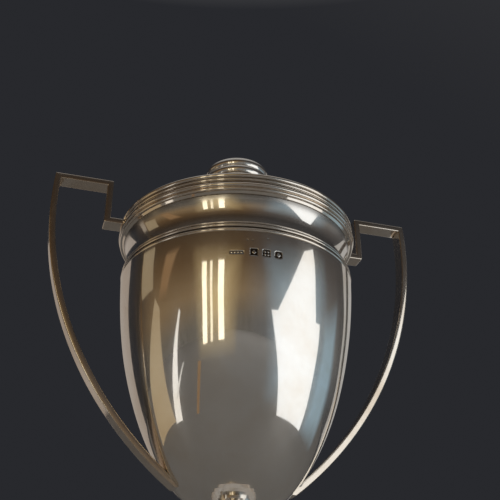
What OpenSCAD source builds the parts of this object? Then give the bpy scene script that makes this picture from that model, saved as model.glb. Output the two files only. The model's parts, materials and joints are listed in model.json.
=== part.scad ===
// Lidded prize cup with two stepped strip handles.
// Millimetres, +Z up, origin at the middle of the flat base, handles along X.
// Heights named *_z are above the table; drops and rises are measured from the mouth's level,
// which is the deep groove in the middle of the cup's rim.

/* [Bowl] */
// Greatest outside diameter of the egg-shaped bowl
bowl_d = 98.4; // [96:0.2:99]
// Depth of the bowl below its widest level
bowl_depth = 103.4; // [98:0.2:108]
// Drop from the mouth to the bowl's widest level
bowl_level_drop = 15.5; // [14:0.5:17]
// Thickness of the sheet that the bowl, neck, foot and cover are made of
wall = 1.2; // [1:0.1:1.3]

/* [Neck and rims] */
// Height of the mouth's level above the table
mouth_z = 184; // [181:1:194]
// Outside diameter of the reeded rim of the cup
rim_d = 103; // [102.6:0.1:103.6]
// Outside diameter of the neck at its waist
neck_waist_d = 94.6; // [94:0.1:95]
// Radius of the neck's hollow outline
neck_sweep_r = 22; // [20:1:26]
// Drop from the mouth to the foot of the shoulder moulding
shoulder_drop = 21.3; // [20.5:0.1:22]

/* [Handles] */
// Width of the handle strip, front to back
strip_w = 7; // [6:0.5:8]
// Thickness of the handle strip
strip_t = 2.6; // [2.2:0.1:3]
// Distance from the axis to the inner face of the riser
riser_x = 56.3; // [55.5:0.1:58]
// Distance from the axis to the outer top corner
handle_reach = 81.2; // [78:0.2:84]
// Rise of the top bar's upper face above the mouth
handle_rise = 21.4; // [19:0.2:24]
// Radius of the long bar's outer face
sweep_r = 147.7; // [144:0.1:152]
// Rise of the long bar's widest level above the mouth
sweep_rise = 9.5; // [8:0.5:11]

/* [Stem and foot] */
// Diameter of the foot
foot_d = 82; // [78:1:90]
// Height of the foot, up to its seat for the stem
foot_h = 29; // [27:0.5:31]
// Diameter of the knop in the middle of the stem
knop_d = 21; // [19:0.5:23]
// Diameter of the calyx under the bowl
calyx_d = 27; // [25:0.5:30]

/* [Cover] */
// Rise of the dome's crown above the mouth
crown_rise = 18.8; // [17:0.1:19.5]
// Depth of the bezel that enters the mouth
bezel_depth = 5; // [4:0.5:6]

/* [Finial] */
// Diameter of the button
button_d = 29; // [28:0.5:30]
// Rise of the button's underside above the mouth
button_rise = 29.9; // [29:0.1:30.5]
// Height of the button without its cap
button_h = 8.7; // [8:0.1:9]

/* [Hidden] */

$fn = 120;
eps = 0.01;          // overlap that makes neighbouring shapes of one piece merge
far = 200;           // longer than anything it cuts

// Bowl
bowl_r = bowl_d / 2;
bowl_z = mouth_z - bowl_level_drop;             // level of the bowl's centre
bowl_bottom_z = bowl_z - bowl_depth;
shoulder_z = mouth_z - shoulder_drop;
bowl_steps = 28;                                // straight lengths in the bowl's outline

// Neck and rims
neck_waist_r = neck_waist_d / 2;
neck_waist_drop = 13.4;
neck_top_drop = 4.9;                            // where the hollow outline starts, under the rim
neck_foot_drop = 16.5;                          // where the hollow outline ends
neck_top_r = neck_sweep(neck_top_drop);
neck_base_r = neck_sweep(neck_foot_drop) + 0.1; // straight part that stands on the bowl
neck_base_in_r = neck_sweep(neck_foot_drop, wall) + 0.1;
rim_r = rim_d / 2;
rim_reed_r = 0.85;
rim_low_reed_r = 0.75;
rim_core_r = rim_r - rim_reed_r;
rim_neck_r = rim_r - 1.4;                       // narrow part above the deep groove
rim_top_reed_r = 0.6;
rim_top_reed_z = 1.4;
lip_rise = 2.1;                                 // top of the cup's rim, where the cover rests
rim_h = 3.7;
rim_reed_drop = 1.35;                           // drop of the upper reed's centre

// Handles
stub_rise = 0.4;                                // rise of the stub's underside
rim_clearance = 0.35;                           // gap between the stub's end and the cover's rim
bar_end_drop = 107.5;                            // drop of the scarfed lower end of the bar
sweep_x = handle_reach - sqrt(pow(sweep_r, 2) - pow(handle_rise - sweep_rise, 2));

// Stem and foot
foot_r = foot_d / 2;
foot_rim_h = 4.2;
foot_step_h = 2.4;
foot_step_r = foot_r - 5;
foot_seat_r = 8.5;
foot_washer_r = 7;
foot_step_z = foot_rim_h + foot_step_h;
foot_sweep_r = foot_h - foot_step_z + 0.4;
foot_join_r = foot_seat_r + foot_sweep_r;       // where the foot's flange meets the step
stem_r = 7;
knop_r = knop_d / 2;
calyx_z = bowl_bottom_z - 6.5;                  // underside of the calyx
knop_z = (foot_h + calyx_z) / 2;
knop_h = 9;
wire_r = 0.9;
calyx_sweep_r = 7.6;
calyx_bead_r = 0.8;
rod_r = 2.5;
rod_hole_r = 2.55;
rod_low_z = foot_h - 9.4;
rod_grip = 6;                                   // length of rod above the calyx's underside
boss_r = 6;

// Cover
cover_rim_h = 4.15;
cover_reed_r = 1;
cover_core_r = rim_r - 0.4 - cover_reed_r;
bezel_r = neck_waist_r - wall + 0.4;
bezel_t = 1;
dome_edge_r = neck_top_r;
dome_rise = crown_rise - cover_rim_h;
dome_r = (dome_edge_r * dome_edge_r + dome_rise * dome_rise) / (2 * dome_rise);

// Finial
button_r = button_d / 2;
button_bead_r = 2.6;
seat_h = 3.6;
neck_end_r = 7.5;
finial_waist_r = 4.8;
stud_r = 2;
stud_hole_r = 2.05;
finial_base_rise = crown_rise + seat_h;

// Fixings
washer_t = 1.2;
nut_h = 4;
foot_nut_af = 8;
finial_nut_af = 7;

silver = [0.78, 0.76, 0.72];
silver_shade = [0.66, 0.64, 0.60];
brass = [0.78, 0.62, 0.32];
steel = [0.55, 0.56, 0.58];

// Radius of the neck's outline at a drop below the mouth: an arc hollowed to the waist.
// The inset is zero for the outer face and the sheet's thickness for the inner one.
function neck_sweep(drop, inset = 0) = neck_waist_r + neck_sweep_r
    - sqrt(pow(neck_sweep_r + inset, 2) - pow(drop - neck_waist_drop, 2));

// Quarter of an ellipse, from its lowest point on the axis up to the rise above its centre.
function egg(r, depth, rise) = [
    for (i = [0 : bowl_steps])
        let (a = -90 + i * (90 + asin(rise / depth)) / bowl_steps)
        [r * cos(a), depth * sin(a)]
];

module turned() {
    rotate_extrude() children();
}

module ring(r_in, r_out, z_low, z_high) {
    translate([r_in, z_low]) square([r_out - r_in, z_high - z_low]);
}

module bead(r_centre, z, r) {
    translate([r_centre, z]) circle(r);
}

module on_mouth() {
    translate([0, 0, mouth_z]) children();
}

// Half of the egg's section, cut flat at the rise.
module egg_outline(inset, rise) {
    polygon(concat(egg(bowl_r - inset, bowl_depth - inset, rise), [[0, rise]]));
}

// Solid with the bowl's outside shape, used to fit what is soldered to it.
module bowl_form() {
    translate([0, 0, bowl_z]) turned() egg_outline(0, shoulder_z - bowl_z);
}

// Egg-shaped shell with a narrow lip turned in, on which the neck stands.
module bowl() {
    lip_top = shoulder_z - bowl_z;
    color(silver)
        translate([0, 0, bowl_z])
            turned()
                difference() {
                    egg_outline(0, lip_top);
                    egg_outline(wall, lip_top - wall);
                    ring(-eps, neck_base_in_r, lip_top - wall - eps, lip_top + eps);
                }
}

module neck_collar() {
    color(silver)
        on_mouth()
            turned()
                difference() {
                    neck_outline(0, neck_top_r, neck_base_r, 0);
                    neck_outline(wall, neck_top_r - wall, neck_base_in_r, eps);
                }
}

// Section from the axis to one face of the neck; extra lengthens it at both ends.
module neck_outline(inset, top_r, base_r, extra) {
    difference() {
        ring(0, top_r, -neck_foot_drop, lip_rise + extra);
        bead(neck_waist_r + neck_sweep_r, -neck_waist_drop, neck_sweep_r + inset);
    }
    ring(0, base_r, -shoulder_drop - extra, -neck_foot_drop);
}

// Three reeds over the joint between neck and bowl, the top one much the thinnest.
module shoulder_moulding() {
    top = -neck_foot_drop;
    bottom = -shoulder_drop;
    color(silver_shade)
        on_mouth()
            turned() {
                ring(neck_base_r, neck_base_r + 0.5, bottom, top);
                bead(neck_base_r + 0.4, top - 0.4, 0.35);
                bead(neck_base_r + 0.8, bottom + 2.85, 0.6);
                bead(neck_base_r + 0.9, bottom + 0.85, 0.75);
            }
}

module cup_rim_outline() {
    polygon([
        [neck_top_r, -neck_top_drop + 0.3], [rim_core_r - 0.7, -rim_h + 0.1],
        [rim_core_r - 0.3, -0.4], [rim_neck_r, 0.2],
        [rim_neck_r, lip_rise], [neck_top_r, lip_rise]
    ]);
    bead(rim_neck_r, rim_top_reed_z, rim_top_reed_r);
    bead(rim_core_r, -rim_reed_drop, rim_reed_r);
    bead(rim_core_r - 0.4, -rim_h + rim_low_reed_r, rim_low_reed_r);
}

module cup_rim() {
    color(silver_shade) on_mouth() turned() cup_rim_outline();
}

// Stub, riser and top bar bent from one strip; its outer end is mitred to the long bar.
module handle_bracket() {
    top = handle_rise;
    color(silver)
        on_mouth()
            difference() {
                rotate([90, 0, 0])
                    linear_extrude(strip_w, center = true)
                        polygon([
                            [rim_r - 2, stub_rise],
                            [riser_x + strip_t, stub_rise],
                            [riser_x + strip_t, top - strip_t],
                            [handle_reach - strip_t, top - strip_t],
                            [handle_reach, top],
                            [riser_x, top],
                            [riser_x, strip_t + stub_rise],
                            [rim_r - 2, strip_t + stub_rise]
                        ]);
                turned() cup_rim_outline();
                cylinder(r = rim_neck_r - 0.2, h = far);
                translate([0, 0, rim_top_reed_z]) cylinder(r = rim_r - 0.4 + rim_clearance, h = far);
            }
}

// Long bar: an arc of strip from the mitred corner down to the bowl.
module handle_bar() {
    color(silver)
        difference() {
            on_mouth()
                rotate([90, 0, 0])
                    linear_extrude(strip_w, center = true)
                        intersection() {
                            difference() {
                                translate([sweep_x, sweep_rise]) circle(sweep_r, $fn = 360);
                                translate([sweep_x, sweep_rise]) circle(sweep_r - strip_t, $fn = 360);
                            }
                            polygon([
                                [handle_reach - 2 * strip_t, handle_rise - 2 * strip_t],
                                [handle_reach + strip_t, handle_rise + strip_t],
                                [handle_reach + strip_t, -bar_end_drop],
                                [0, -bar_end_drop]
                            ]);
                        }
            bowl_form();
        }
}

module left_handle_bracket() {
    mirror([1, 0, 0]) handle_bracket();
}

module right_handle_bracket() {
    handle_bracket();
}

module left_handle_bar() {
    mirror([1, 0, 0]) handle_bar();
}

module right_handle_bar() {
    handle_bar();
}

// Tapped boss soldered under the bowl, which takes the tie rod.
module bowl_boss() {
    color(brass)
        difference() {
            translate([0, 0, calyx_z + wall]) cylinder(r = boss_r, h = boss_r + wall);
            translate([0, 0, calyx_z]) cylinder(r = rod_r, h = rod_grip);
            bowl_form();
        }
}

// Small dish that the bowl stands in, with a bead round its edge.
module calyx() {
    r = calyx_d / 2;
    h = bowl_z - bowl_depth * sqrt(1 - pow(r / bowl_r, 2)) - calyx_z;
    base_r = foot_seat_r;
    color(silver_shade)
        difference() {
            translate([0, 0, calyx_z])
                turned()
                    difference() {
                        union() {
                            difference() {
                                ring(0, r - calyx_bead_r, 0, h);
                                bead(base_r + calyx_sweep_r, wall, calyx_sweep_r);
                                ring(base_r, r, -eps, wall);
                            }
                            bead(r - calyx_bead_r, h - calyx_bead_r, calyx_bead_r);
                        }
                        ring(0, boss_r + 0.3, wall, h + eps);
                        ring(-eps, rod_hole_r, -eps, wall + eps);
                    }
            bowl_form();
        }
}

// One half of the stem: a spool, hollowed on the outside and bored for the tie rod.
module stem_half(z_low, z_high) {
    h = z_high - z_low;
    hollow_r = 9;
    waist = 1.3;
    color(silver)
        translate([0, 0, z_low])
            turned()
                difference() {
                    ring(rod_hole_r, stem_r, 0, h);
                    bead(stem_r - waist + hollow_r, h / 2, hollow_r);
                }
}

module upper_stem() {
    stem_half(knop_z + knop_h / 2, calyx_z);
}

module lower_stem() {
    stem_half(foot_h, knop_z - knop_h / 2);
}

module stem_knop() {
    shoulder = knop_h / 2;
    color(silver)
        translate([0, 0, knop_z])
            turned()
                difference() {
                    union() {
                        ring(0, knop_r - shoulder, -shoulder, shoulder);
                        bead(knop_r - shoulder, 0, shoulder);
                    }
                    ring(-eps, rod_hole_r, -shoulder - eps, shoulder + eps);
                }
}

// Two plain wires, one above and one below the knop.
module knop_wires() {
    color(silver_shade)
        for (side = [-1, 1])
            translate([0, 0, knop_z + side * (knop_h / 2 + wire_r)])
                turned()
                    ring_wire();
}

module ring_wire() {
    difference() {
        bead(stem_r, 0, wire_r);
        ring(0, stem_r, -wire_r - eps, wire_r + eps);
    }
}

// Spun foot: a hollow sweep from the flat seat for the stem down to a narrow flange.
module foot() {
    color(silver)
        turned()
            difference() {
                union() {
                    foot_sweep(0, foot_step_z - eps);
                    ring(0, foot_join_r, foot_step_z - wall, foot_step_z);
                }
                foot_sweep(wall, foot_step_z - wall - eps);
                ring(-eps, rod_hole_r, 0, foot_h + eps);
            }
}

// Section from the axis to one face of the sweep.
module foot_sweep(inset, z_low) {
    difference() {
        ring(0, foot_join_r, z_low, foot_h - inset);
        bead(foot_join_r, foot_h, foot_sweep_r + inset);
    }
}

// Step that carries the foot's flange, with a plain upright wall down to the table.
module foot_step() {
    color(silver)
        turned()
            difference() {
                ring(foot_join_r, foot_step_r, 0, foot_step_z);
                ring(foot_join_r - eps, foot_step_r - wall, -eps, foot_step_z - wall);
            }
}

module foot_rim() {
    reed = 1.05;
    color(silver_shade)
        turned() {
            ring(foot_step_r, foot_r - reed, 0, foot_rim_h);
            for (level = [1, 3])
                bead(foot_r - reed, level * reed, reed);
        }
}

module tie_rod() {
    color(steel)
        translate([0, 0, rod_low_z]) cylinder(r = rod_r, h = calyx_z + rod_grip - rod_low_z);
}

module foot_washer() {
    color(steel)
        translate([0, 0, foot_h - wall - washer_t])
            turned() ring(rod_hole_r, foot_washer_r, 0, washer_t);
}

module hex_nut(af, h, hole_r) {
    difference() {
        cylinder(d = af / cos(30), h = h, $fn = 6);
        translate([0, 0, -eps]) cylinder(r = hole_r, h = h + 2 * eps);
    }
}

module foot_nut() {
    color(brass)
        translate([0, 0, foot_h - wall - washer_t - nut_h]) hex_nut(foot_nut_af, nut_h, rod_r);
}

// Solid ball that the dome's shell is cut from; inset gives its inner face.
module dome_ball(inset) {
    translate([0, 0, crown_rise - dome_r]) sphere(dome_r - inset, $fn = 240);
}

module cover_dome() {
    color(silver)
        on_mouth()
            difference() {
                intersection() {
                    dome_ball(0);
                    translate([0, 0, cover_rim_h]) cylinder(r = dome_edge_r + 1, h = crown_rise);
                }
                dome_ball(wall);
                cylinder(r = stud_hole_r, h = crown_rise + wall);
            }
}

module cover_rim() {
    color(silver_shade)
        on_mouth()
            turned() {
                ring(bezel_r, cover_core_r, lip_rise, cover_rim_h);
                bead(cover_core_r, cover_rim_h - cover_reed_r, cover_reed_r);
            }
}

// Plain collar that enters the mouth and keeps the cover in place.
module cover_bezel() {
    color(silver)
        on_mouth()
            turned() ring(bezel_r - bezel_t, bezel_r, -bezel_depth, cover_rim_h);
}

// Two stepped discs bedded on the crown.
module finial_seat() {
    color(silver_shade)
        on_mouth()
            difference() {
                translate([0, 0, crown_rise - 2])
                    turned() {
                        ring(stud_hole_r, 12.5, 0, 2 + seat_h / 2);
                        ring(stud_hole_r, 9.5, 0, 2 + seat_h);
                    }
                dome_ball(0);
            }
}

module finial_neck() {
    hollow_r = 5;
    h = button_rise - finial_base_rise;
    color(silver)
        on_mouth()
            translate([0, 0, finial_base_rise])
                turned()
                    difference() {
                        ring(stud_hole_r, neck_end_r, 0, h);
                        bead(finial_waist_r + hollow_r, h / 2, hollow_r);
                    }
}

// Turned button with a fat bead round each edge and a blind hole for the stud.
module finial_button() {
    core = button_r - button_bead_r;
    color(silver)
        on_mouth()
            translate([0, 0, button_rise])
                turned()
                    difference() {
                        union() {
                            ring(0, core, 0, button_h);
                            bead(core, button_bead_r, button_bead_r);
                            bead(core, button_h - button_bead_r, button_bead_r);
                        }
                        ring(-eps, stud_r, -eps, button_h - 3);
                    }
}

module finial_cap() {
    cap_r = 10.5;
    cap_h = 1.4;
    ball_r = (cap_r * cap_r + cap_h * cap_h) / (2 * cap_h);
    color(silver)
        on_mouth()
            translate([0, 0, button_rise + button_h])
                intersection() {
                    translate([0, 0, cap_h - ball_r]) sphere(ball_r, $fn = 240);
                    cylinder(r = cap_r + 1, h = cap_h + 1);
                }
}

module finial_stud() {
    low = crown_rise - wall - washer_t - nut_h - 1;
    color(steel)
        on_mouth()
            translate([0, 0, low]) cylinder(r = stud_r, h = button_rise + button_h - 3 - eps - low);
}

module finial_washer() {
    color(steel)
        on_mouth()
            intersection() {
                dome_ball(wall);
                translate([0, 0, crown_rise - wall - washer_t])
                    turned() ring(stud_hole_r, 5, 0, washer_t);
            }
}

module finial_nut() {
    color(brass)
        on_mouth()
            translate([0, 0, crown_rise - wall - washer_t - nut_h])
                hex_nut(finial_nut_af, nut_h, stud_r);
}

bowl();
neck_collar();
shoulder_moulding();
cup_rim();
left_handle_bracket();
right_handle_bracket();
left_handle_bar();
right_handle_bar();
bowl_boss();
calyx();
upper_stem();
stem_knop();
knop_wires();
lower_stem();
foot();
foot_step();
foot_rim();
tie_rod();
foot_washer();
foot_nut();
cover_dome();
cover_rim();
cover_bezel();
finial_seat();
finial_neck();
finial_button();
finial_cap();
finial_stud();
finial_washer();
finial_nut();
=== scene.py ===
import json
import math

import bpy
import numpy as np
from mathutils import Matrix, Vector


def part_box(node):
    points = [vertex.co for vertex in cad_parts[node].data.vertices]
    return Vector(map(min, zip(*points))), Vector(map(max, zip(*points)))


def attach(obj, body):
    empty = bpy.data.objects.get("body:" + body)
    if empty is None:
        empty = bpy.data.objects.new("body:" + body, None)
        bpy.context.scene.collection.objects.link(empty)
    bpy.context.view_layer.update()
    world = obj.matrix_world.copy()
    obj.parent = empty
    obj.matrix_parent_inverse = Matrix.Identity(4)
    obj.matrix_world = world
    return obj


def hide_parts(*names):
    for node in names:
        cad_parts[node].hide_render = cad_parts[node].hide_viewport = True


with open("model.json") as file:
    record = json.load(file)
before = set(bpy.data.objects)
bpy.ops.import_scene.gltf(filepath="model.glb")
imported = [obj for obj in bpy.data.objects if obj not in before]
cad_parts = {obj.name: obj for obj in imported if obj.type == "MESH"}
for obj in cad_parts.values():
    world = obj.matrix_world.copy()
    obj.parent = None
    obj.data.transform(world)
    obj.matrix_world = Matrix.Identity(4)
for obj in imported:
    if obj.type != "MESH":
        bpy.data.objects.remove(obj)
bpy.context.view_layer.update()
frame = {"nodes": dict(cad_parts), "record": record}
nodes = frame["nodes"]
MM = 0.001


# ---------------------------------------------------------------- sizes, mm
def low(node, axis):
    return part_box(node)[0][axis] / MM


def high(node, axis):
    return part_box(node)[1][axis] / MM


LIP_RISE = 2.1
MOUTH = high("neck_collar", 2) - LIP_RISE
SHOULDER = low("neck_collar", 2) - MOUTH
RIM_R = high("cup_rim", 0)
RIM_NECK_R = RIM_R - 1.4
BOWL_R = 49.2
BOWL_LEVEL = -15.5
BOWL_DEPTH = MOUTH + BOWL_LEVEL - low("bowl", 2)
WALL = 1.2
WAIST_R = 47.3
WAIST_Z = -13.4
SWEEP_R = 22.0
NECK_TOP = -4.9
NECK_FOOT = -16.5

STRIP_W = high("right_handle_bar", 1) * 2
STRIP_T = 2.6
REACH = high("right_handle_bracket", 0)
RISE = high("right_handle_bracket", 2) - MOUTH
STUB_Z = low("right_handle_bracket", 2) - MOUTH
RISER_X = 56.3
BAR_R = 147.7
BAR_LEVEL = 9.5
BAR_END = low("right_handle_bar", 2) - MOUTH
BAR_X = REACH - math.sqrt(BAR_R**2 - (RISE - BAR_LEVEL) ** 2)

FOOT_R = high("foot_rim", 0)
FOOT_RIM_H = high("foot_rim", 2)
FOOT_H = high("foot", 2)
JOIN_R = high("foot", 0)
STEP_R = high("foot_step", 0)
STEP_H = high("foot_step", 2)
SEAT_R = 8.5
STEM_R = 7.0
ROD_R = 2.55
CALYX_R = high("calyx", 0)
CALYX_Z = low("calyx", 2)
KNOP_R = high("stem_knop", 0)
KNOP_LOW = low("stem_knop", 2)
KNOP_HIGH = high("stem_knop", 2)

COVER_H = high("cover_rim", 2) - MOUTH
CROWN = high("cover_dome", 2) - MOUTH
BEZEL_R = high("cover_bezel", 0)
BEZEL_LOW = low("cover_bezel", 2) - MOUTH
BUTTON_R = high("finial_button", 0)
BUTTON_LOW = low("finial_button", 2) - MOUTH
BUTTON_HIGH = high("finial_button", 2) - MOUTH
STUD_R = 2.05


# ---------------------------------------------------------------- camera
CAMERA_X = -82.6
CAMERA_Y = -299.0
CAMERA_DROP = 176.4  # below the mouth's level
CAMERA_HEADING = 16.56
CAMERA_PITCH = 29.33


def aim(heading, pitch):
    h, p = math.radians(heading), math.radians(pitch)
    return Vector((math.sin(h) * math.cos(p), math.cos(h) * math.cos(p), math.sin(p)))


camera_data = bpy.data.cameras.new("camera")
camera_data.sensor_width = 36
camera_data.lens = 57.96
camera_data.clip_start = 0.01
camera_data.clip_end = 50
camera = bpy.data.objects.new("camera", camera_data)
camera.location = Vector((CAMERA_X, CAMERA_Y, MOUTH - CAMERA_DROP)) * MM
camera.rotation_mode = "QUATERNION"
camera.rotation_quaternion = aim(CAMERA_HEADING, CAMERA_PITCH).to_track_quat("-Z", "Y")
bpy.context.scene.collection.objects.link(camera)
bpy.context.scene.camera = camera


# ---------------------------------------------------------------- outlines
def arc(cx, cz, r, start, end, steps=12):
    return [
        (cx + r * math.cos(math.radians(a)), cz + r * math.sin(math.radians(a)))
        for a in np.linspace(start, end, steps + 1)
    ]


def thin_out(points, closed):
    kept = [points[0]]
    for p in points[1:]:
        if math.dist(p, kept[-1]) > 1e-3:
            kept.append(p)
    if closed and math.dist(kept[0], kept[-1]) <= 1e-3:
        kept.pop()
    return kept


def turns(points, closed):
    """Signed turn at each point in degrees, left positive."""
    n = len(points)
    found = []
    for i in range(n):
        if not closed and i in (0, n - 1):
            found.append(0.0)
            continue
        a = np.subtract(points[i], points[i - 1])
        b = np.subtract(points[(i + 1) % n], points[i])
        cross = a[0] * b[1] - a[1] * b[0]
        found.append(math.degrees(math.atan2(cross, float(np.dot(a, b)))))
    return found


def soften(points, radius, closed=True, steps=5, least=22):
    """Rounds each corner of an outline."""
    points = thin_out(points, closed)
    n = len(points)
    out = []
    for i, turn in enumerate(turns(points, closed)):
        p = np.array(points[i], float)
        if abs(turn) < least:
            out.append(tuple(p))
            continue
        a = np.subtract(points[i - 1], p)
        b = np.subtract(points[(i + 1) % n], p)
        la, lb = np.linalg.norm(a), np.linalg.norm(b)
        reach = min(radius * math.tan(math.radians(abs(turn)) / 2), 0.45 * la, 0.45 * lb)
        start, end = p + a / la * reach, p + b / lb * reach
        for t in np.linspace(0, 1, steps + 1):
            out.append(tuple((1 - t) ** 2 * start + 2 * t * (1 - t) * p + t * t * end))
    return thin_out(out, closed)


def supported(points, closed=True, gap=0.06):
    """Adds points close to the ends of long straight stretches, so that they stay flat when shaded."""
    n = len(points)
    bend = turns(points, closed)
    out = []
    for i in range(n):
        out.append(points[i])
        if i == n - 1 and not closed:
            break
        j = (i + 1) % n
        length = math.dist(points[i], points[j])
        if length < 5 * gap:
            continue
        a, b = np.array(points[i], float), np.array(points[j], float)
        step = (b - a) / length * gap
        if abs(bend[i]) > 1.5:
            out.append(tuple(a + step))
        if abs(bend[j]) > 1.5:
            out.append(tuple(b - step))
    return out


# ---------------------------------------------------------------- meshes
def make_mesh(name, verts, faces, sharp=38, fields=None):
    mesh = bpy.data.meshes.new(name)
    mesh.from_pydata(verts, [], faces)
    mesh.validate()
    mesh.polygons.foreach_set("use_smooth", [True] * len(mesh.polygons))
    mesh.set_sharp_from_angle(angle=math.radians(sharp))
    for key, values in (fields or {}).items():
        layer = mesh.attributes.new(key, "FLOAT", "POINT")
        layer.data.foreach_set("value", np.asarray(values, np.float32))
    piece = bpy.data.objects.new(name, mesh)
    bpy.context.scene.collection.objects.link(piece)
    return piece


def place(piece, material, *stood_for):
    """Gives a piece its finish and body, and hides the CAD nodes that it stands for."""
    if piece.type == "MESH":
        piece.data.materials.append(material)
    first = stood_for[0]
    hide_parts(*stood_for)
    bodies = frame["record"]["behaviour"]["bodies"]
    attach(piece, next(b for b, members in bodies.items() if first in members))
    return piece


def lathe(name, outline, base=None, columns=180, closed=True, groove=0.3, shape=None):
    """A turned mesh. The outline is (radius, height) in mm, counter-clockwise, heights above base."""
    base = MOUTH if base is None else base
    outline = thin_out(outline, closed)
    bend = turns(outline, closed)
    hollows = [outline[i] for i, t in enumerate(bend) if t < -20]
    outline = supported(outline, closed)
    angles = (
        np.linspace(0, 2 * math.pi, columns, endpoint=False)
        if isinstance(columns, int)
        else np.asarray(columns)
    )
    count = len(angles)
    verts, faces, crease_shade, rows = [], [], [], []
    for r, z in outline:
        # painted shade: each point's value rises near the outline's concave corners, to darken the colour
        # in grooves
        near = min((math.dist((r, z), h) for h in hollows), default=9.0)
        dark = math.exp(-((near / groove) ** 2))
        if r < 1e-6:
            rows.append([len(verts)])
            verts.append((0.0, 0.0, (base + z) * MM))
            crease_shade.append(dark)
            continue
        rows.append(list(range(len(verts), len(verts) + count)))
        for a in angles:
            verts.append((r * math.sin(a) * MM, -r * math.cos(a) * MM, (base + z) * MM))
            crease_shade.append(dark)
    total = len(rows)
    for i in range(total if closed else total - 1):
        p, q = rows[i], rows[(i + 1) % total]
        for j in range(count):
            k = (j + 1) % count
            if len(p) == 1 and len(q) == 1:
                continue
            if len(p) == 1:
                faces.append((p[0], q[k], q[j]))
            elif len(q) == 1:
                faces.append((p[j], p[k], q[0]))
            else:
                faces.append((p[j], p[k], q[k], q[j]))
    verts = np.array(verts)
    fields = {"groove": np.array(crease_shade)}
    if shape is not None:
        verts, fields["marks_and_shade"] = shape(verts)
    else:
        fields["marks_and_shade"] = np.zeros(len(verts))
    return make_mesh(name, verts.tolist(), faces, fields=fields)


def fillet(before, corner, after, radius, steps):
    """Points along an arc that rounds one corner of a path."""
    p = np.array(corner, float)
    a, b = np.subtract(before, p), np.subtract(after, p)
    a, b = a / np.linalg.norm(a), b / np.linalg.norm(b)
    half = math.acos(max(-1, min(1, float(np.dot(a, b))))) / 2
    reach = radius / math.tan(half)
    middle = p + (a + b) / np.linalg.norm(a + b) * radius / math.sin(half)
    start, end = p + a * reach, p + b * reach
    a0 = math.atan2(*(start - middle)[::-1])
    a1 = math.atan2(*(end - middle)[::-1])
    if a1 - a0 > math.pi:
        a1 -= 2 * math.pi
    if a0 - a1 > math.pi:
        a1 += 2 * math.pi
    return [
        (middle[0] + radius * math.cos(t), middle[1] + radius * math.sin(t))
        for t in np.linspace(a0, a1, steps + 1)
    ]


def strip_ring(a, b, edge):
    """One rounded rectangle across the strip, from side a to side b."""
    half = STRIP_W / 2
    a, b = np.array(a, float), np.array(b, float)
    thick = float(np.linalg.norm(b - a))
    along = (b - a) / thick
    middle = (a + b) / 2
    e_u = min(edge * thick / STRIP_T, thick * 0.42)
    flat = half - edge
    ring = []
    corners = ((1, 1, 0), (-1, 1, 90), (-1, -1, 180), (1, -1, 270))
    for index, (cu, cv, start) in enumerate(corners):
        for t in np.linspace(start, start + 90, 6):
            c, s = math.cos(math.radians(t)), math.sin(math.radians(t))
            ring.append((cu * (thick / 2 - e_u) + c * e_u, cv * flat + s * edge))
        if index == 1:
            for v in (0.97, 0.6, 0.2, -0.2, -0.6, -0.97):
                ring.append((-thick / 2, v * flat))
        if index == 3:
            for v in (-0.97, -0.6, -0.2, 0.2, 0.6, 0.97):
                ring.append((thick / 2, v * flat))
    return [(middle[0] + along[0] * u, v, middle[1] + along[1] * u) for u, v in ring]


def strip_mesh(name, side_a, side_b, edge, settle, mirrored):
    verts = []
    for a, b in zip(side_a, side_b):
        verts += strip_ring(a, b, edge)
    per = len(verts) // len(side_a)
    verts = [settle(i // per, *v) for i, v in enumerate(verts)]
    faces = []
    for i in range(len(side_a) - 1):
        for j in range(per):
            k = (j + 1) % per
            faces.append((i * per + j, i * per + k, (i + 1) * per + k, (i + 1) * per + j))
    last = (len(side_a) - 1) * per
    faces.append(tuple(reversed(range(per))))
    faces.append(tuple(last + j for j in range(per)))
    side = -1 if mirrored else 1
    verts = [(side * x * MM, y * MM, (MOUTH + z) * MM) for x, y, z in verts]
    if mirrored:
        faces = [tuple(reversed(f)) for f in faces]
    return make_mesh(name, verts, faces, sharp=50)


# ---------------------------------------------------------------- node materials
def new_material(name):
    material = bpy.data.materials.new(name)
    material.use_nodes = True
    tree = material.node_tree
    tree.nodes.clear()
    return material, tree


def node(tree, kind, **settings):
    n = tree.nodes.new(kind)
    for key, value in settings.items():
        if key in n.inputs:
            n.inputs[key].default_value = value
        else:
            setattr(n, key, value)
    return n


def noise(tree, vector, scale, detail=3.0, rough=0.55, distort=0.0, stretch=None):
    if stretch is not None:
        mapping = node(tree, "ShaderNodeMapping")
        mapping.inputs["Scale"].default_value = stretch
        tree.links.new(vector, mapping.inputs["Vector"])
        vector = mapping.outputs["Vector"]
    n = node(tree, "ShaderNodeTexNoise", Scale=scale, Detail=detail, Roughness=rough, Distortion=distort)
    tree.links.new(vector, n.inputs["Vector"])
    return n.outputs["Fac"]


def ranged(tree, value, low_in, high_in, low_out, high_out):
    n = node(tree, "ShaderNodeMapRange")
    n.inputs["From Min"].default_value = low_in
    n.inputs["From Max"].default_value = high_in
    n.inputs["To Min"].default_value = low_out
    n.inputs["To Max"].default_value = high_out
    tree.links.new(value, n.inputs["Value"])
    return n.outputs["Result"]


def maths(tree, operation, a, b, clamp=False):
    n = node(tree, "ShaderNodeMath", operation=operation, use_clamp=clamp)
    for i, v in enumerate((a, b)):
        if isinstance(v, (int, float)):
            n.inputs[i].default_value = v
        else:
            tree.links.new(v, n.inputs[i])
    return n.outputs[0]


def blend_colour(tree, factor, a, b):
    n = node(tree, "ShaderNodeMix", data_type="RGBA")
    if isinstance(factor, (int, float)):
        n.inputs[0].default_value = factor
    else:
        tree.links.new(factor, n.inputs[0])
    for socket, v in ((n.inputs[6], a), (n.inputs[7], b)):
        if isinstance(v, tuple):
            socket.default_value = (*v, 1)
        else:
            tree.links.new(v, socket)
    return n.outputs[2]


def attribute(tree, name):
    return node(tree, "ShaderNodeAttribute", attribute_name=name).outputs["Fac"]


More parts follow.
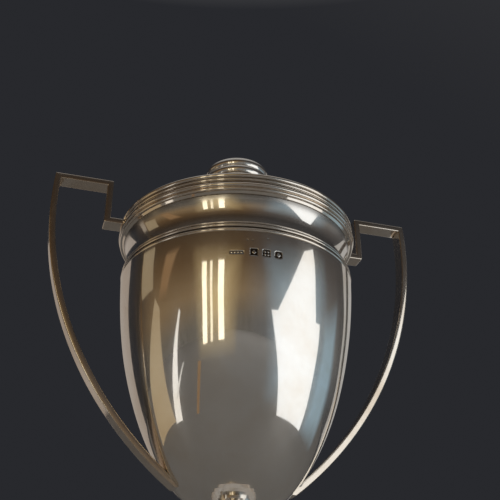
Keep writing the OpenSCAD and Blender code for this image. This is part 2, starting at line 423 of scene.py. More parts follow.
def silver(name, clean, tarnished, tarnish=0.5, sharp=0.06, haze=0.25, haze_rough=0.34, wear=1.0):
    """Polished silver: a mirror under a haze of fine scratches, with warm tarnish, dark struck marks, and
    painted shade in grooves and under the rim.
    """
    material, tree = new_material(name)
    link = tree.links.new
    where = node(tree, "ShaderNodeTexCoord").outputs["Object"]
    clouds = noise(tree, where, 22, 5, 0.62, 0.6)
    blotches = noise(tree, where, 120, 2, 0.5, 0.3)
    stain = maths(tree, "MULTIPLY", ranged(tree, clouds, 0.38, 0.68, 0, 1), tarnish)
    stain = maths(tree, "ADD", stain, ranged(tree, blotches, 0.5, 0.8, 0, 0.15), True)
    colour = blend_colour(tree, stain, clean, tarnished)
    # painted shade in grooves and under the rim, together with the struck marks, turns the colour towards
    # near black
    in_groove = maths(tree, "MULTIPLY", attribute(tree, "groove"), 0.75)
    dark = maths(tree, "MAXIMUM", in_groove, attribute(tree, "marks_and_shade"))
    colour = blend_colour(tree, dark, colour, (0.05, 0.036, 0.026))

    upright = noise(tree, where, 1, 2, 0.5, 0.0, (900, 900, 40))
    crossing_marks = noise(tree, where, 1, 2, 0.5, 1.2, (900, 300, 420))
    streaks = maths(tree, "MULTIPLY", maths(tree, "ADD", upright, crossing_marks), 0.5)
    rough = ranged(tree, streaks, 0.35, 0.65, sharp * 0.75, sharp * 1.25)
    rough = maths(tree, "ADD", rough, maths(tree, "MULTIPLY", dark, 0.35), True)

    swell = noise(tree, where, 26, 0, 0.4)
    bump = node(tree, "ShaderNodeBump", Strength=0.3 * wear, Distance=0.0004)
    link(swell, bump.inputs["Height"])
    scratches = noise(tree, where, 1, 3, 0.6, 1.5, (1500, 700, 1100))
    fine = node(tree, "ShaderNodeBump", Strength=0.22 * wear, Distance=0.00003)
    link(scratches, fine.inputs["Height"])
    link(bump.outputs["Normal"], fine.inputs["Normal"])

    mirror = node(tree, "ShaderNodeBsdfPrincipled", Metallic=1.0)
    link(colour, mirror.inputs["Base Color"])
    link(rough, mirror.inputs["Roughness"])
    link(bump.outputs["Normal"], mirror.inputs["Normal"])
    veil = node(tree, "ShaderNodeBsdfPrincipled", Metallic=1.0, Roughness=haze_rough)
    link(colour, veil.inputs["Base Color"])
    link(fine.outputs["Normal"], veil.inputs["Normal"])
    mix = node(tree, "ShaderNodeMixShader")
    scuffs = ranged(tree, streaks, 0.3, 0.7, haze * 0.4, haze * 1.6)
    smears = ranged(tree, clouds, 0.35, 0.7, 0.0, 0.5 * haze)
    link(maths(tree, "ADD", scuffs, smears), mix.inputs[0])
    link(mirror.outputs[0], mix.inputs[1])
    link(veil.outputs[0], mix.inputs[2])
    out = node(tree, "ShaderNodeOutputMaterial")
    link(mix.outputs[0], out.inputs["Surface"])
    return material


def fixing(name, colour, shade, rough):
    """Plain turned steel or brass, with tool rings and dull patches."""
    material, tree = new_material(name)
    link = tree.links.new
    where = node(tree, "ShaderNodeTexCoord").outputs["Object"]
    patches = noise(tree, where, 260, 4, 0.6)
    rings = noise(tree, where, 1, 2, 0.5, 0.0, (500, 500, 9000))
    shader = node(tree, "ShaderNodeBsdfPrincipled", Metallic=1.0)
    dull = ranged(tree, patches, 0.35, 0.7, 0, 1)
    link(blend_colour(tree, dull, colour, shade), shader.inputs["Base Color"])
    link(ranged(tree, rings, 0.3, 0.7, rough * 0.8, rough * 1.3), shader.inputs["Roughness"])
    bump = node(tree, "ShaderNodeBump", Strength=0.3, Distance=0.00004)
    link(rings, bump.inputs["Height"])
    link(bump.outputs["Normal"], shader.inputs["Normal"])
    out = node(tree, "ShaderNodeOutputMaterial")
    link(shader.outputs[0], out.inputs["Surface"])
    return material


sheet_silver = silver("sheet_silver", (0.93, 0.905, 0.865), (0.76, 0.64, 0.50), 0.5, 0.05, 0.17, 0.27)
moulding_silver = silver(
    "moulding_silver", (0.90, 0.84, 0.76), (0.66, 0.53, 0.40), 0.65, 0.07, 0.11, 0.26, 0.4
)
strip_silver = silver("strip_silver", (0.86, 0.79, 0.70), (0.60, 0.47, 0.34), 0.7, 0.09, 0.14, 0.28, 0.5)
steel = fixing("steel", (0.42, 0.43, 0.45), (0.26, 0.26, 0.27), 0.32)
brass = fixing("brass", (0.72, 0.52, 0.24), (0.45, 0.31, 0.14), 0.3)


# ---------------------------------------------------------------- bowl, with struck marks
def egg_radius(z):
    """Outside radius of the bowl at a height from the mouth."""
    share = (z - BOWL_LEVEL) / BOWL_DEPTH
    return BOWL_R * math.sqrt(max(0.0, 1 - share * share))


MARK_Z = -30.0
MARK_SIZE = 3.0
MARK_PITCH = 4.8
FIRST_MARK = -6.5
LONG_MARK = -13.0
DOT_PITCH = 1.25


def box_field(s, z, half_w, half_h, corner):
    """Distance outside a rounded rectangle, negative inside."""
    dx = np.abs(s) - (half_w - corner)
    dz = np.abs(z) - (half_h - corner)
    outside = np.hypot(np.maximum(dx, 0), np.maximum(dz, 0))
    return outside + np.minimum(np.maximum(dx, dz), 0) - corner


def lozenge(a, b):
    return (np.abs(a) + np.abs(b)) * 0.75 - 0.6


def four_dots(a, b):
    return np.hypot(np.abs(a) - 0.6, np.abs(b) - 0.6) - 0.36


def disc(a, b):
    return np.hypot(a, b) - 0.75


def struck(s, z):
    """How deep the marks are, from 0 to 1, at an arc length from the front and a height."""
    def cut(field, soft=0.14):
        return np.clip(0.5 - field / soft, 0, 1)

    depth = np.zeros_like(s)
    b = z - MARK_Z
    half = MARK_SIZE / 2
    for index, (raised, corner) in enumerate(((lozenge, 0.3), (four_dots, 0.5), (disc, 0.9))):
        a = s - FIRST_MARK - index * MARK_PITCH
        depth = np.maximum(depth, cut(box_field(a, b, half, half, corner)) * (1 - 0.85 * cut(raised(a, b))))
    # a long narrow punch with four even dots
    a = s - LONG_MARK
    nearest = np.clip(np.round(a / DOT_PITCH - 0.5), -2, 1) + 0.5
    dots = np.hypot(a - nearest * DOT_PITCH, b + 0.35) - 0.33
    oblong = box_field(a, b + 0.35, 2 * DOT_PITCH + 0.15, 0.65, 0.3)
    depth = np.maximum(depth, 0.7 * cut(oblong) * (1 - 0.9 * cut(dots)))
    # small pits from use
    for at, level in ((-9.0, -25.0), (-7.0, -25.0), (-1.0, -24.0)):
        depth = np.maximum(depth, 0.6 * cut(np.hypot(s - at, z - level) - 0.2))
    return depth


def planished(x, y, z):
    """Slight unevenness of a hand-raised surface, mm."""
    a = np.arctan2(x, -y)
    return (
        0.030 * np.sin(3 * a + z / 9.0 + 0.7)
        + 0.022 * np.sin(5 * a - z / 6.1 + 2.1)
        + 0.014 * np.sin(8 * a + z / 4.3 + 4.0)
    )


def shape_bowl(verts):
    v = verts / MM
    x, y, z = v[:, 0], v[:, 1], v[:, 2] - MOUTH
    r = np.hypot(x, y)
    around = np.arctan2(x, -y)
    outer = np.array([egg_radius(h) for h in z])
    skin = (r > outer - 0.3) & (z < SHOULDER - 0.05)
    depth = np.where(skin & (z > -40), struck(around * 49.0, z), 0.0)
    fade = np.clip((SHOULDER - 0.3 - z) / 6, 0, 1) * np.clip(r / 20, 0, 1)
    move = np.where(skin, planished(x, y, z) * fade - 0.16 * depth, 0.0)
    with np.errstate(divide="ignore", invalid="ignore"):
        nx, ny = np.where(r > 0, x / r, 0), np.where(r > 0, y / r, 0)
    slope = (z - BOWL_LEVEL) / BOWL_DEPTH**2 * BOWL_R**2 / np.maximum(r, 1e-3)
    size = np.sqrt(1 + slope**2)
    v[:, 0] += nx / size * move
    v[:, 1] += ny / size * move
    v[:, 2] += slope / size * move
    return v * MM, depth


def graded(start, end, fine, coarse, growth=1.12):
    """Steps from fine at the start to coarse, filling the length to the end."""
    steps, step, total = [], fine, 0.0
    while total < abs(end - start):
        steps.append(step)
        total += step
        step = min(step * growth, coarse)
    steps = np.cumsum(steps) * (abs(end - start) / total)
    return start + np.sign(end - start) * np.concatenate(([0.0], steps))


front = np.arange(-19.5, 7.01, 0.2)
right = graded(front[-1], front[-1] + 166.75, 0.2, 2.2)
left = graded(front[0], front[0] - 166.75, 0.2, 2.2)
bowl_columns = np.radians(np.concatenate((left[::-1][1:], front[1:-1], right)))


def neck_radius(z, inset=0.0):
    """Radius of the neck's hollow outline at a height from the mouth."""
    return WAIST_R + SWEEP_R - math.sqrt((SWEEP_R + inset) ** 2 - (z - WAIST_Z) ** 2)


NECK_TOP_R = neck_radius(NECK_TOP)
NECK_BASE_R = neck_radius(NECK_FOOT) + 0.1
lip_in = neck_radius(NECK_FOOT, WALL) + 0.1
marks_low, marks_high = -32.2, -23.4
rows_z = np.concatenate(
    (
        graded(marks_low, -100.0, 0.17, 1.6)[::-1],
        np.arange(marks_low + 0.17, marks_high, 0.17),
        graded(marks_high, SHOULDER, 0.17, 0.8),
    )
)
outer_line = [(egg_radius(z), z) for z in rows_z]
tail = math.degrees(math.asin((-100.0 - BOWL_LEVEL) / BOWL_DEPTH))
under = [
    (BOWL_R * math.cos(math.radians(t)), BOWL_LEVEL + BOWL_DEPTH * math.sin(math.radians(t)))
    for t in np.linspace(-90, tail, 26)
]
under[0] = (0.0, under[0][1])
inner_top = SHOULDER - WALL
inner_angle = math.degrees(math.asin((inner_top - BOWL_LEVEL) / (BOWL_DEPTH - WALL)))
inner_line = [
    (
        (BOWL_R - WALL) * math.cos(math.radians(t)),
        BOWL_LEVEL + (BOWL_DEPTH - WALL) * math.sin(math.radians(t)),
    )
    for t in np.linspace(inner_angle, -90, 60)
]
inner_line[-1] = (0.0, inner_line[-1][1])
bowl_line = under[:-1] + outer_line + [(lip_in, SHOULDER), (lip_in, inner_top)] + inner_line
bowl_skin = lathe("bowl_skin", bowl_line, columns=bowl_columns, closed=False, shape=shape_bowl)
place(bowl_skin, sheet_silver, "bowl")


# ---------------------------------------------------------------- neck, mouldings and rims
centre_r = WAIST_R + SWEEP_R
a_low = 180 + math.degrees(math.asin((WAIST_Z - NECK_FOOT) / SWEEP_R))
a_high = 180 - math.degrees(math.asin((NECK_TOP - WAIST_Z) / SWEEP_R))
in_r = SWEEP_R + WALL
in_low = 180 + math.degrees(math.asin((WAIST_Z - NECK_FOOT) / in_r))
in_high = 180 - math.degrees(math.acos((centre_r - NECK_TOP_R + WALL) / in_r))
neck_line = (
    [(lip_in, SHOULDER), (NECK_BASE_R, SHOULDER), (NECK_BASE_R, NECK_FOOT)]
    + arc(centre_r, WAIST_Z, SWEEP_R, a_low, a_high, 24)
    + [(NECK_TOP_R, LIP_RISE), (NECK_TOP_R - WALL, LIP_RISE)]
    + arc(centre_r, WAIST_Z, in_r, in_high, in_low, 24)
)


def shade_under_rim(verts):
    """Painted shade just under the rim and above the shoulder: the colour is darkened there."""
    z = verts[:, 2] / MM - MOUTH
    below_rim = np.exp(-(((z - NECK_TOP) / 1.5) ** 2))
    above_shoulder = 0.5 * np.exp(-(((z - NECK_FOOT) / 0.8) ** 2))
    return verts, 0.62 * np.maximum(below_rim, above_shoulder)


fine_neck = [tuple(p) for a, b in zip(neck_line, neck_line[1:]) for p in np.linspace(a, b, 3)[:-1]]
fine_neck.append(neck_line[-1])
# the neck's colour carries painted shade under the rim and above the shoulder, in the same values as the
# bowl's struck marks
neck = lathe("neck_skin", soften(fine_neck, 0.15), columns=240, shape=shade_under_rim)
place(neck, sheet_silver, "neck_collar")


def crossing(c1, r1, c2, r2):
    """The outer of the two points where two beads cross."""
    (x1, z1), (x2, z2) = c1, c2
    d = math.dist(c1, c2)
    a = (r1 * r1 - r2 * r2 + d * d) / (2 * d)
    h = math.sqrt(max(0.0, r1 * r1 - a * a))
    mx, mz = x1 + a * (x2 - x1) / d, z1 + a * (z2 - z1) / d
    found = [(mx + h * (z2 - z1) / d, mz - h * (x2 - x1) / d)]
    found.append((mx - h * (z2 - z1) / d, mz + h * (x2 - x1) / d))
    return max(found)


def bead_arc(centre, r, start, end, steps=14):
    """Counter-clockwise bead from one point or angle to another."""
    def angle(v):
        if isinstance(v, tuple):
            return math.degrees(math.atan2(v[1] - centre[1], v[0] - centre[0]))
        return v

    a, b = angle(start), angle(end)
    if b < a:
        b += 360
    return arc(*centre, r, a, b, steps)


REED_SHADE = 0.5
low_r, top_r = 0.75, 0.85
low_bead = (RIM_R - top_r - 0.4, -2.95)
top_bead = (RIM_R - top_r, -1.35)
meet = crossing(low_bead, low_r, top_bead, top_r)
rim_line = (
    [(NECK_TOP_R, NECK_TOP + 0.3)]
    + bead_arc(low_bead, low_r, -118, meet)
    + bead_arc(top_bead, top_r, meet, 112)
    + [(RIM_R - 1.15, -0.4), (RIM_NECK_R, 0.2)]
    + arc(RIM_NECK_R, 1.4, 0.6, -90, 90, 12)
    + [(RIM_NECK_R, LIP_RISE), (NECK_TOP_R, LIP_RISE)]
)
cup_rim = lathe("cup_rim_beads", soften(rim_line, 0.12), columns=240, groove=REED_SHADE)
place(cup_rim, moulding_silver, "cup_rim")

base = NECK_BASE_R
shoulder_line = (
    [(base, SHOULDER), (base + 0.5, SHOULDER)]
    + bead_arc((base + 0.9, SHOULDER + 0.85), 0.75, -122, 122, 18)
    + bead_arc((base + 0.8, SHOULDER + 2.85), 0.6, -120, 120)
    + bead_arc((base + 0.4, NECK_FOOT - 0.4), 0.35, -73, 73, 10)
    + [(base + 0.5, NECK_FOOT), (base, NECK_FOOT)]
)
shoulder = lathe("shoulder_reeds", soften(shoulder_line, 0.08), columns=240, groove=REED_SHADE)
place(shoulder, moulding_silver, "shoulder_moulding")


# ---------------------------------------------------------------- handles
def even(a, b, count):
    return [tuple(p) for p in np.linspace(a, b, count)]


def handle(side, mirrored):
    t = STRIP_T
    start_x = RIM_R - 1.0
    low_z, high_z = STUB_Z, STUB_Z + t
    out_x, top = RISER_X + t, RISE
    c1 = (out_x, low_z), (RISER_X, high_z)
    c2 = (out_x, top - t), (RISER_X, top)
    end = (REACH - t, top - t), (REACH, top)
    begin = (start_x, low_z), (start_x, high_z)
    convex, concave = 0.55, 0.18
    side_a = (
        even(begin[0], (out_x - 0.9, low_z), 4)
        + fillet(begin[0], c1[0], c2[0], convex, 5)
        + even((out_x, low_z + 1.2), (out_x, top - t - 0.5), 5)
        + fillet(c1[0], c2[0], end[0], concave, 5)
        + even((out_x + 0.5, top - t), end[0], 6)
    )
    side_b = (
        even(begin[1], (RISER_X - 0.5, high_z), 4)
        + fillet(begin[1], c1[1], c2[1], concave, 5)
        + even((RISER_X, high_z + 0.5), (RISER_X, top - 0.9), 5)
        + fillet(c1[1], c2[1], end[1], convex, 5)
        + even((RISER_X + 1.2, top), end[1], 6)
    )

    def settle_bracket(index, x, y, z):
        if index > 0:
            return x, y, z
        r = RIM_R - 0.05 if z > 1.35 else RIM_NECK_R
        return math.sqrt(r * r - y * y), y, z

    bracket = strip_mesh(side + "_bracket_strip", side_a, side_b, 0.42, settle_bracket, mirrored)
    place(bracket, strip_silver, side + "_handle_bracket")

    offset = REACH - RISE
    inner_r = BAR_R - t
    half_b = (offset - BAR_X - BAR_LEVEL) / 2
    root = math.sqrt(inner_r**2 / 2 - ((offset - BAR_X + BAR_LEVEL) / 2) ** 2)
    z_in = -half_b + root
    top_out = math.asin((RISE - BAR_LEVEL) / BAR_R)
    top_in = math.asin((z_in - BAR_LEVEL) / inner_r)
    end_out = math.asin((BAR_END - BAR_LEVEL) / BAR_R)
    end_in = math.asin((BAR_END - BAR_LEVEL) / inner_r)
    count = 110
    outer = [
        (BAR_X + BAR_R * math.cos(a), BAR_LEVEL + BAR_R * math.sin(a))
        for a in np.linspace(top_out, end_out, count)
    ]
    inner = [
        (BAR_X + inner_r * math.cos(a), BAR_LEVEL + inner_r * math.sin(a))
        for a in np.linspace(top_in, end_in, count)
    ]

    def settle_bar(_, x, y, z):
        skin = egg_radius(z) - 0.03
        if z < SHOULDER and math.hypot(x, y) < skin:
            return math.sqrt(skin * skin - y * y), y, z
        return x, y, z

    bar = strip_mesh(side + "_bar_strip", outer, inner, 0.42, settle_bar, mirrored)
    place(bar, strip_silver, side + "_handle_bar")


handle("right", False)
handle("left", True)


# ---------------------------------------------------------------- stem and foot
def spool(name, z_low, z_high, node_name):
    h = z_high - z_low
    r, depth = 9.0, 1.3
    centre = STEM_R - depth + r
    reach = math.degrees(math.asin(math.sqrt(r * r - (r - depth) ** 2) / r))
    line = (
        [(ROD_R, 0.0), (STEM_R, 0.0)]
        + arc(centre, h / 2, r, 180 + reach, 180 - reach, 20)
        + [(STEM_R, h), (ROD_R, h)]
    )
    place(lathe(name, soften(line, 0.15), base=z_low, columns=128), sheet_silver, node_name)


spool("upper_spool", KNOP_HIGH, CALYX_Z, "upper_stem")
spool("lower_spool", FOOT_H, KNOP_LOW, "lower_stem")

knop_half = (KNOP_HIGH - KNOP_LOW) / 2
knop_line = (
    [(ROD_R, 0.0)]
    + [(KNOP_R - knop_half, 0.0)]
    + arc(KNOP_R - knop_half, knop_half, knop_half, -90, 90, 32)
    + [(ROD_R, 2 * knop_half)]
)
place(lathe("knop_turned", soften(knop_line, 0.1), base=KNOP_LOW, columns=160), sheet_silver, "stem_knop")

wire_r = 0.9
wires = []
for level in (KNOP_LOW - wire_r, KNOP_HIGH + wire_r):
    line = [(STEM_R, -wire_r)] + arc(STEM_R, 0, wire_r, -89, 89, 14) + [(STEM_R, wire_r)]
    wires.append(lathe("wire", soften(line, 0.05), base=level, columns=128))
with bpy.context.temp_override(active_object=wires[0], selected_editable_objects=wires):
    bpy.ops.object.join()
wires[0].name = "knop_wire_rings"
place(wires[0], moulding_silver, "knop_wires")

calyx_top = high("calyx", 2) - CALYX_Z
cup_low = low("bowl", 2) - CALYX_Z
sweep = 7.6
calyx_line = (
    [(ROD_R, 0.0), (SEAT_R, 0.0), (SEAT_R, WALL)]
    + arc(SEAT_R + sweep, WALL, sweep, 180, 128, 14)
    + bead_arc((CALYX_R - 0.8, calyx_top - 0.8), 0.8, -75, 95, 16)
)
under_bowl = [
    (r, BOWL_DEPTH * (1 - math.sqrt(1 - (r / BOWL_R) ** 2)) + cup_low - 0.02)
    for r in np.linspace(CALYX_R - 1.1, 6.3, 10)
]
calyx_line += under_bowl + [(6.3, WALL), (ROD_R, WALL)]
place(lathe("calyx_dish", soften(calyx_line, 0.12), base=CALYX_Z, columns=160), moulding_silver, "calyx")

foot_sweep = JOIN_R - SEAT_R
in_sweep = foot_sweep + WALL
low_angle = 180 + math.degrees(math.asin((FOOT_H - STEP_H) / foot_sweep))
in_low_angle = 180 + math.degrees(math.asin((FOOT_H - STEP_H + WALL) / in_sweep))
in_high_angle = 180 + math.degrees(math.asin(WALL / in_sweep))
foot_line = (
    [(JOIN_R, STEP_H - WALL), (JOIN_R, STEP_H)]
    + arc(JOIN_R, FOOT_H, foot_sweep, low_angle, 180, 40)
    + [(ROD_R, FOOT_H), (ROD_R, FOOT_H - WALL)]
    + arc(JOIN_R, FOOT_H, in_sweep, in_high_angle, in_low_angle, 40)
)
place(lathe("foot_spun", soften(foot_line, 0.15), base=0, columns=240), sheet_silver, "foot")

step_line = [
    (STEP_R - WALL, 0.0),
    (STEP_R, 0.0),
    (STEP_R, STEP_H),
    (JOIN_R, STEP_H),
    (JOIN_R, STEP_H - WALL),
    (STEP_R - WALL, STEP_H - WALL),
]
place(lathe("foot_step_ring", soften(step_line, 0.35), base=0, columns=240), sheet_silver, "foot_step")

reed = 1.05
foot_rim_line = (
    [(STEP_R, 0.0)]
    + bead_arc((FOOT_R - reed, reed), reed, -90, 88)
    + bead_arc((FOOT_R - reed, 3 * reed), reed, -88, 90)
    + [(STEP_R, FOOT_RIM_H)]
)
place(lathe("foot_rim_reeds", soften(foot_rim_line, 0.1), base=0, columns=240), moulding_silver, "foot_rim")


# ---------------------------------------------------------------- cover
edge_r = NECK_TOP_R
dome_rise = CROWN - COVER_H
dome_r = (edge_r**2 + dome_rise**2) / (2 * dome_rise)
dome_z = CROWN - dome_r


def dome_angle(r, z):
    return math.degrees(math.atan2(z - dome_z, r))


inner_edge = math.sqrt((dome_r - WALL) ** 2 - (COVER_H - dome_z) ** 2)
crown_out = math.sqrt(dome_r**2 - STUD_R**2) + dome_z
crown_in = math.sqrt((dome_r - WALL) ** 2 - STUD_R**2) + dome_z
dome_line = arc(0, dome_z, dome_r, dome_angle(edge_r, COVER_H), dome_angle(STUD_R, crown_out), 48) + arc(
    0, dome_z, dome_r - WALL, dome_angle(STUD_R, crown_in), dome_angle(inner_edge, COVER_H), 48
)
place(lathe("dome_skin", dome_line, columns=240), sheet_silver, "cover_dome")

cover_core = RIM_R - 1.4
cover_rim_line = (
    [(BEZEL_R, LIP_RISE), (cover_core, LIP_RISE)]
    + arc(cover_core, COVER_H - 1.0, 1.0, -90, 90, 18)
    + [(BEZEL_R, COVER_H)]
)
cover_rim = lathe("cover_rim_beads", soften(cover_rim_line, 0.1), columns=240, groove=REED_SHADE)
place(cover_rim, moulding_silver, "cover_rim")

bezel_line = [
    (BEZEL_R - 1.0, BEZEL_LOW),
    (BEZEL_R, BEZEL_LOW),
    (BEZEL_R, COVER_H),
    (BEZEL_R - 1.0, COVER_H),
]
place(lathe("bezel_collar", soften(bezel_line, 0.2), columns=240), sheet_silver, "cover_bezel")

seat_mid, seat_top = CROWN + 1.8, high("finial_seat", 2) - MOUTH
seat_under = [
    (r, math.sqrt(dome_r**2 - r * r) + dome_z - 0.01) for r in np.linspace(STUD_R, 12.5, 10)
]
seat_line = seat_under + [(12.5, seat_mid), (9.5, seat_mid), (9.5, seat_top), (STUD_R, seat_top)]
place(lathe("seat_discs", soften(seat_line, 0.3), columns=160), moulding_silver, "finial_seat")

neck_h = BUTTON_LOW - seat_top
top_half = math.degrees(math.asin(min(1.0, neck_h / 2 / 5.0)))
finial_neck_line = (
    [(STUD_R, 0.0), (7.5, 0.0)]
    + arc(9.8, neck_h / 2, 5.0, 180 + top_half * 0.88, 180 - top_half * 0.88, 20)
    + [(7.5, neck_h), (STUD_R, neck_h)]
)
finial_neck = lathe("finial_waist", soften(finial_neck_line, 0.2), base=MOUTH + seat_top, columns=128)
place(finial_neck, sheet_silver, "finial_neck")

bead = 2.6
core = BUTTON_R - bead
button_h = BUTTON_HIGH - BUTTON_LOW
valley = math.degrees(math.asin((button_h / 2 - bead) / bead))
button_line = (
    [(2.0, 0.0), (core, 0.0)]
    + arc(core, bead, bead, -90, valley, 18)
    + arc(core, button_h - bead, bead, -valley, 90, 18)
    + [(0.0, button_h)]
)
button_line = soften(button_line, 0.12, closed=False)
button_line = [(0.0, button_h - 3.0), (2.0, button_h - 3.0)] + button_line
button = lathe("button_turned", button_line, base=MOUTH + BUTTON_LOW, columns=200, closed=False)
place(button, sheet_silver, "finial_button")

cap_r, cap_h = 10.5, 1.4
cap_ball = (cap_r**2 + cap_h**2) / (2 * cap_h)
cap_start = math.degrees(math.asin((cap_ball - cap_h) / cap_ball))
cap_line = [(0.0, 0.0)] + arc(0, cap_h - cap_ball, cap_ball, cap_start, 90, 20)
cap_line[-1] = (0.0, cap_h)
cap_line = soften(cap_line, 0.15, closed=False)
cap = lathe("button_cap", cap_line, base=MOUTH + BUTTON_HIGH, columns=160, closed=False)
place(cap, sheet_silver, "finial_cap")


# ---------------------------------------------------------------- fixings keep their CAD shape
for name, material in (
    ("tie_rod", steel),
    ("foot_washer", steel),
    ("finial_stud", steel),
    ("finial_washer", steel),
    ("foot_nut", brass),
    ("finial_nut", brass),
    ("bowl_boss", brass),
):
    nodes[name].data.materials.clear()
    nodes[name].data.materials.append(material)


# ---------------------------------------------------------------- floor, backdrop and lights
def stage_mesh(name, verts, faces, material):
    mesh = bpy.data.meshes.new(name)
    mesh.from_pydata(verts, [], faces)
    thing = bpy.data.objects.new(name, mesh)
    thing.data.materials.append(material)
    bpy.context.scene.collection.objects.link(thing)
    return thing


floor_material, tree = new_material("pale_floor")
where = node(tree, "ShaderNodeTexCoord").outputs["Object"]
shader = node(tree, "ShaderNodeBsdfPrincipled", Roughness=0.75)
mottle = noise(tree, where, 9, 4, 0.6)
tint = blend_colour(tree, mottle, (0.62, 0.615, 0.60), (0.68, 0.675, 0.66))
tree.links.new(tint, shader.inputs["Base Color"])
out = node(tree, "ShaderNodeOutputMaterial")
tree.links.new(shader.outputs[0], out.inputs["Surface"])
floor_r = 2.6
floor_z = -0.1 * MM
floor_turns = np.linspace(0, 2 * math.pi, 96, endpoint=False)
floor_edge = [(floor_r * math.cos(t), floor_r * math.sin(t), floor_z) for t in floor_turns]
stage_mesh("floor", floor_edge, [tuple(range(len(floor_edge)))], floor_material)


def glow(name, colour, strength):
    """Light that is clear where the pane's solid value is 0."""
    material, tree = new_material(name)
    shader = node(tree, "ShaderNodeEmission", Strength=strength)
    shader.inputs["Color"].default_value = (*colour, 1)
    clear = node(tree, "ShaderNodeBsdfTransparent")
    mix = node(tree, "ShaderNodeMixShader")
    tree.links.new(attribute(tree, "solid"), mix.inputs[0])
    tree.links.new(clear.outputs[0], mix.inputs[1])
    tree.links.new(shader.outputs[0], mix.inputs[2])
    out = node(tree, "ShaderNodeOutputMaterial")
    tree.links.new(mix.outputs[0], out.inputs["Surface"])
    return material


def pane(name, distance, colour, strength, left, right, low, high, slope=0, soft=0.0):
    """A straight-sided lit pane bent round the cup, which only its silver mirrors.

    Left and right give each side's azimuth at its foot and its head, in degrees from the front. Low
    and high are mm above the table, and slope is how much higher the right side stands. Soft is the
    share of the width and height over which the light fades in.
    """
    across, up = 21, 13
    verts, faces, solid = [], [], []
    for v in np.linspace(0, 1, up):
        a, b = left[0] + (left[1] - left[0]) * v, right[0] + (right[1] - right[0]) * v
        for u in np.linspace(0, 1, across):
            turn = math.radians(a + (b - a) * u)
            z = low + (high - low) * v + slope * u
            verts.append((distance * math.sin(turn) * MM, -distance * math.cos(turn) * MM, z * MM))
            inset = min(u, 1 - u, v, 1 - v)
            solid.append(min(1.0, inset / soft) if soft > 0 else 1.0)
    for i in range(up - 1):
        for j in range(across - 1):
            k = i * across + j
            faces.append((k, k + 1, k + across + 1, k + across))
    lamp = stage_mesh(name, verts, faces, glow(name, colour, strength))
    layer = lamp.data.attributes.new("solid", "FLOAT", "POINT")
    layer.data.foreach_set("value", np.array(solid, np.float32))
    lamp.visible_camera = False
    lamp.visible_diffuse = False
    lamp.visible_shadow = False


# distances from the cup's axis, mm
NEAR, MIDDLE, FAR = 220, 340, 500
SKY = (0.95, 0.98, 1.0)
COOL = (0.60, 0.83, 1.0)
WARM_WHITE = (1.0, 0.98, 0.93)
GOLD = (1.0, 0.90, 0.68)
TAN = (1.0, 0.80, 0.52)
BROWN = (1.0, 0.62, 0.32)

# a tall window to the right, with its cool surround
pane("window", NEAR, SKY, 1.15, (35, 15), (70, 65), 5, 150, 15)
pane("window_peak", NEAR, SKY, 1.15, (20, 45), (60, 55), 150, 240, 10)
pane("window_surround", NEAR + 25, COOL, 0.4, (15, 5), (95, 70), 0, 250, 15, 0.35)
pane("cool_right", NEAR + 15, COOL, 0.45, (70, 70), (105, 90), 5, 190, 30, 0.25)
# a slit of daylight and a curtain to the left
pane("slit", NEAR, WARM_WHITE, 1.0, (-90, -65), (-80, -64), 15, 160, -5)
pane("slit_branch", NEAR - 2, WARM_WHITE, 0.8, (-80, -65), (-77, -64), 50, 90)
pane("curtain", NEAR + 10, TAN, 0.4, (-125, -90), (-90, -85), 30, 190, -15)
pane("post_left", NEAR - 5, BROWN, 0.25, (-60, -50), (-57, -47), 5, 85)
# three narrow golden lights in front, to the left
GOLDEN_START = -45
GOLDEN_STEP = 7
for index, (width, power) in enumerate(((4, 1.7), (2, 1.3), (5, 1.8))):
    side = GOLDEN_START + index * GOLDEN_STEP
    pane("golden_%d" % index, MIDDLE - 10, GOLD, power, (side, side), (side + width, side + width), 95, 250)
pane("golden_room", MIDDLE, (1.0, 0.76, 0.38), 0.5, (-50, -55), (-15, -8), 60, 290, 0, 0.45)
# plain walls further round
pane("tan_wall", MIDDLE + 20, TAN, 0.3, (-110, -115), (-95, -95), 240, 330)
pane("brown_wall", MIDDLE + 20, BROWN, 0.25, (-90, -80), (-80, -65), 210, 310, 0, 0.2)
pane("left_wall", FAR, (1.0, 0.87, 0.76), 0.36, (-180, -180), (-145, -135), 90, 420)
pane("right_wall", FAR, (1.0, 0.97, 0.93), 0.42, (120, 105), (160, 155), 100, 460)


def soft_lamp(name, location, size, energy, spread):
    """A round lamp that faces down and lights the floor; the cup doesn't mirror it."""
    light = bpy.data.lights.new(name, "AREA")
    light.shape = "DISK"
    light.size = size
    light.energy = energy
    light.spread = math.radians(spread)
    lamp = bpy.data.objects.new(name, light)
    lamp.location = location
    lamp.visible_camera = False
    lamp.visible_glossy = False
    bpy.context.scene.collection.objects.link(lamp)


soft_lamp("front_pool", (0.0, -1.5, 1.6), 1.8, 2.2, 100)

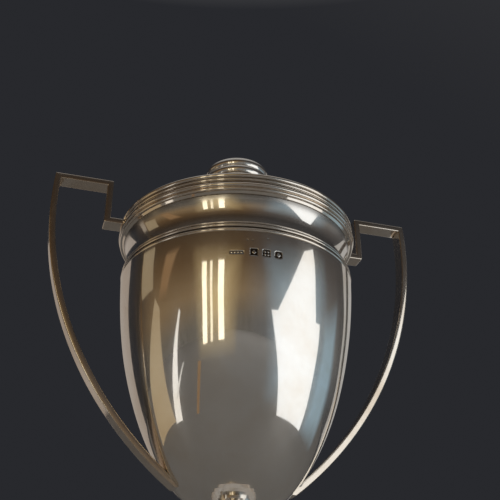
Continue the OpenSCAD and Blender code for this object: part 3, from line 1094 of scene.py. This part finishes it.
world = bpy.data.worlds.new("studio")
bpy.context.scene.world = world
world.use_nodes = True
tree = world.node_tree
tree.nodes.clear()
direction = node(tree, "ShaderNodeTexCoord").outputs["Generated"]
parts = node(tree, "ShaderNodeSeparateXYZ")
tree.links.new(direction, parts.inputs[0])
to_front = ranged(tree, parts.outputs["Y"], 0.1, 0.66, 1, 0)


def by_height(steps):
    """A colour ramp from below to above, given by elevation in degrees."""
    n = node(tree, "ShaderNodeValToRGB")
    ramp = n.color_ramp
    places = [(0.5 + 0.5 * math.sin(math.radians(e)), colour) for e, colour in steps]
    for element, (position, colour) in zip(ramp.elements, (places[0], places[-1])):
        element.position = position
        element.color = (*colour, 1)
    for position, colour in places[1:-1]:
        ramp.elements.new(position).color = (*colour, 1)
    tree.links.new(ranged(tree, parts.outputs["Z"], -1, 1, 0, 1), n.inputs["Fac"])
    return n.outputs["Color"]


CEILING = (0.36, 0.355, 0.35)
warm_side = by_height(
    (
        (-30, (0.020, 0.020, 0.022)),
        (-8, (0.112, 0.108, 0.100)),
        (1, (0.115, 0.104, 0.088)),
        (10, (0.200, 0.140, 0.078)),
        (20, (0.095, 0.058, 0.028)),
        (32, (0.035, 0.024, 0.016)),
        (48, (0.06, 0.052, 0.045)),
        (66, CEILING),
        (90, CEILING),
    )
)
cool_side = by_height(
    (
        (-30, (0.020, 0.023, 0.028)),
        (-8, (0.108, 0.110, 0.112)),
        (1, (0.108, 0.110, 0.114)),
        (10, (0.175, 0.170, 0.165)),
        (20, (0.085, 0.077, 0.073)),
        (32, (0.034, 0.032, 0.032)),
        (48, (0.055, 0.055, 0.057)),
        (66, CEILING),
        (90, CEILING),
    )
)
to_right = ranged(tree, parts.outputs["X"], -0.15, 0.35, 0, 1)
front_glow = blend_colour(tree, to_right, warm_side, cool_side)
back_side = by_height(
    (
        (-20, (0.021, 0.022, 0.026)),
        (46, (0.021, 0.022, 0.026)),
        (66, CEILING),
        (90, CEILING),
    )
)
colour = blend_colour(tree, to_front, back_side, front_glow)
background = node(tree, "ShaderNodeBackground", Strength=1.0)
tree.links.new(colour, background.inputs["Color"])
out = node(tree, "ShaderNodeOutputWorld")
tree.links.new(background.outputs[0], out.inputs["Surface"])

bpy.context.scene.view_settings.view_transform = "Standard"
